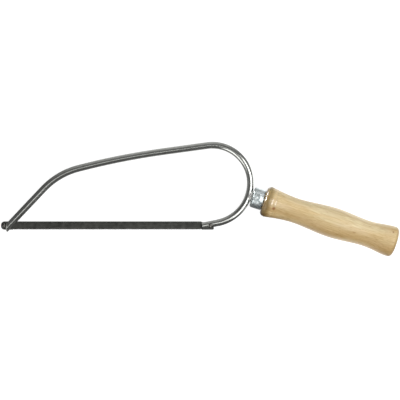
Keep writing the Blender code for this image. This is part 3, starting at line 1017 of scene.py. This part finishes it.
def pale_floor():
    """White sheet under the saw, which throws light up from the pools on it."""
    floor = begin(
        "studio_floor", bpy.ops.mesh.primitive_plane_add, size=FLOOR_SIZE, location=(0.0, 0.0, -FLOOR_DROP)
    )
    material = bpy.data.materials.new("pale_studio_floor")
    material.use_nodes = True
    tree = material.node_tree
    tree.nodes.clear()
    place = add(tree, "ShaderNodeTexCoord").outputs["Object"]
    level = FLOOR_BOUNCE
    for centre, full, edge, radiance in POOLS:
        away = add(tree, "ShaderNodeVectorMath", {0: place, 1: centre}, operation="DISTANCE")
        pool = add(
            tree,
            "ShaderNodeMapRange",
            {
                "Value": away.outputs["Value"],
                "From Min": full,
                "From Max": edge,
                "To Min": radiance,
                "To Max": 0.0,
            },
        )
        level = add(tree, "ShaderNodeMath", {0: level, 1: pool.outputs[0]}, operation="ADD").outputs[0]
    bounce = add(tree, "ShaderNodeEmission", {"Color": WHITE, "Strength": level})
    pale = add(tree, "ShaderNodeBsdfDiffuse", {"Color": FLOOR_GREY})
    glow = add(tree, "ShaderNodeEmission", {"Color": WHITE, "Strength": FLOOR_GLOW})
    sheet = add(tree, "ShaderNodeAddShader", {0: pale.outputs[0], 1: glow.outputs[0]})
    seen = add(tree, "ShaderNodeLightPath").outputs["Is Camera Ray"]
    mixed = add(tree, "ShaderNodeMixShader", {0: seen, 1: bounce.outputs[0], 2: sheet.outputs[0]})
    add(tree, "ShaderNodeOutputMaterial", {"Surface": mixed.outputs[0]})
    floor.data.materials.append(material)


def studio_walls():
    """Grey room and ceiling round the saw: bright behind the bow, dark past its nose and below the teeth."""
    world = bpy.data.worlds.new("studio")
    bpy.context.scene.world = world
    world.use_nodes = True
    tree = world.node_tree
    tree.nodes.clear()
    facing = add(tree, "ShaderNodeTexCoord").outputs["Generated"]
    heading = add(tree, "ShaderNodeTexGradient", {"Vector": facing}, gradient_type="RADIAL")
    walls = add(
        tree,
        "ShaderNodeValToRGB",
        {"Fac": heading.outputs["Fac"]},
        stops=(
            (0.0, "#959595"),
            (0.17, "#959595"),
            (0.22, "#6c6c6c"),
            (0.26, "#595959"),
            (0.38, "#5d5d5d"),
            (0.5, "#959595"),
            (0.63, "#909090"),
            (0.69, "#b4b4b4"),
            (0.755, "#dcdcdc"),
            (0.8, "#c0c0c0"),
            (0.835, "#9c9c9c"),
            (0.87, "#606060"),
            (0.9, "#505050"),
            (1.0, "#959595"),
        ),
    )
    height = add(tree, "ShaderNodeSeparateXYZ", {0: facing}).outputs["Z"]
    shell = add(
        tree,
        "ShaderNodeMix",
        {0: height, MIX_FIRST: walls.outputs[0], MIX_SECOND: CEILING_GREY},
        data_type="RGBA",
    )
    room = add(tree, "ShaderNodeBackground", {"Color": shell.outputs[MIX_RESULT]})
    backdrop = add(tree, "ShaderNodeBackground", {"Color": WHITE})
    seen = add(tree, "ShaderNodeLightPath").outputs["Is Camera Ray"]
    mixed = add(tree, "ShaderNodeMixShader", {0: seen, 1: room.outputs[0], 2: backdrop.outputs[0]})
    add(tree, "ShaderNodeOutputWorld", {"Surface": mixed.outputs[0]})


def softbox(name, aim, azimuth, polar, distance, size, radiance, spread=180.0, roll=0.0):
    """Soft window that faces a point of the saw, at an azimuth above +X and an angle from straight up.

    A spread under 180 is a grid on the window, which keeps its light near the point it faces.
    """
    lean, heading, half = math.radians(polar), math.radians(azimuth), math.radians(spread) / 2
    out = Vector((math.sin(lean) * math.cos(heading), math.sin(lean) * math.sin(heading), math.cos(lean)))
    bpy.ops.object.light_add(type="AREA", location=aim + out * distance)
    light = bpy.context.object
    light.name = name
    facing = out.to_track_quat("Z", "Y") @ Quaternion((0.0, 0.0, 1.0), math.radians(roll))
    light.rotation_euler = facing.to_euler()
    light.data.shape = "RECTANGLE"
    light.data.size, light.data.size_y = size
    light.data.spread = math.radians(spread)
    # A narrow spread gathers a light's power, so less of it gives the same radiance straight ahead.
    light.data.energy = radiance * (1.0 - half / math.tan(half)) * math.pi * size[0] * size[1]
    light.visible_camera = False


LEG_MIDDLE = TIP + LEG_RUN / 2 * direction(LEG_SLOPE)
WAIST = on_handle(0.034, 0.0)
BELLY = on_handle(0.083, 0.0)
HIGH_RIM = on_handle(0.0099, 0.0052, 0.0091)
LOW_RIM = on_handle(0.0099, 0.0014, 0.0104)
# Each window: the point it faces, its azimuth, angle from straight up and distance, its width and height,
# its radiance, and where they are not 180 and 0 its spread and roll
WINDOWS = (
    ("right_window", HEEL_CENTRE, -2.0, 32.0, 0.8, (0.36, 0.54), 3.2),
    ("upper_right_window", HEEL_CENTRE, 26.0, 33.0, 0.8, (0.23, 0.29), 3.0),
    ("low_right_window", HEEL_CENTRE, -38.0, 36.0, 0.5, (0.22, 0.32), 2.2),
    ("left_window", HEEL_CENTRE, -131.0, 51.0, 0.8, (0.54, 0.52), 1.8, 180.0, 25.0),
    ("overhead_fill", HEEL_CENTRE, -85.0, 6.0, 1.1, (0.45, 0.35), 0.2),
    ("leg_fill", LEG_MIDDLE, LEG_SLOPE - 90.0, 11.7, 0.4, (0.1, 0.1), 1.8, 29.0),
    ("hook_fill", REAR_PIN, HOOK_SLOPE - 90.0, 4.0, 0.3, (0.08, 0.08), 2.6, 22.0),
    ("handle_fill", BELLY, 90.0 - HANDLE_DROP, 50.0, 0.3, (0.1, 0.12), 8.5, 23.0),
    ("waist_fill", WAIST, 90.0 - HANDLE_DROP, 58.0, 0.2, (0.05, 0.05), 6.0, 16.0),
    ("ferrule_fill", FERRULE_FRONT, 90.0 - HANDLE_DROP, 80.0, 0.2, (0.05, 0.05), 1.2, 18.0),
    ("high_rim_fill", HIGH_RIM, 147.0 - HANDLE_DROP, 97.0, 0.04, (0.018, 0.006), 46.0, 26.0),
    ("low_rim_fill", LOW_RIM, 168.0 - HANDLE_DROP, 78.0, 0.04, (0.018, 0.006), 76.0, 24.0),
)
pale_floor()
studio_walls()
for window in WINDOWS:
    softbox(*window)

# Camera straight above the saw: its height over the blade, the width of the view there, and how far the
# middle of the view lies below the middle of the saw
CAMERA_HEIGHT = 1.2
VIEW_WIDTH = 0.2907
VIEW_DROP = 0.0007
SENSOR_WIDTH = 36.0
bpy.ops.object.camera_add(location=(0.0, -VIEW_DROP, REAR_PIN.z + CAMERA_HEIGHT))
camera = bpy.context.object
camera.data.sensor_width = SENSOR_WIDTH
camera.data.lens = SENSOR_WIDTH * CAMERA_HEIGHT / VIEW_WIDTH
bpy.context.scene.camera = camera
bpy.context.scene.view_settings.view_transform = "Standard"
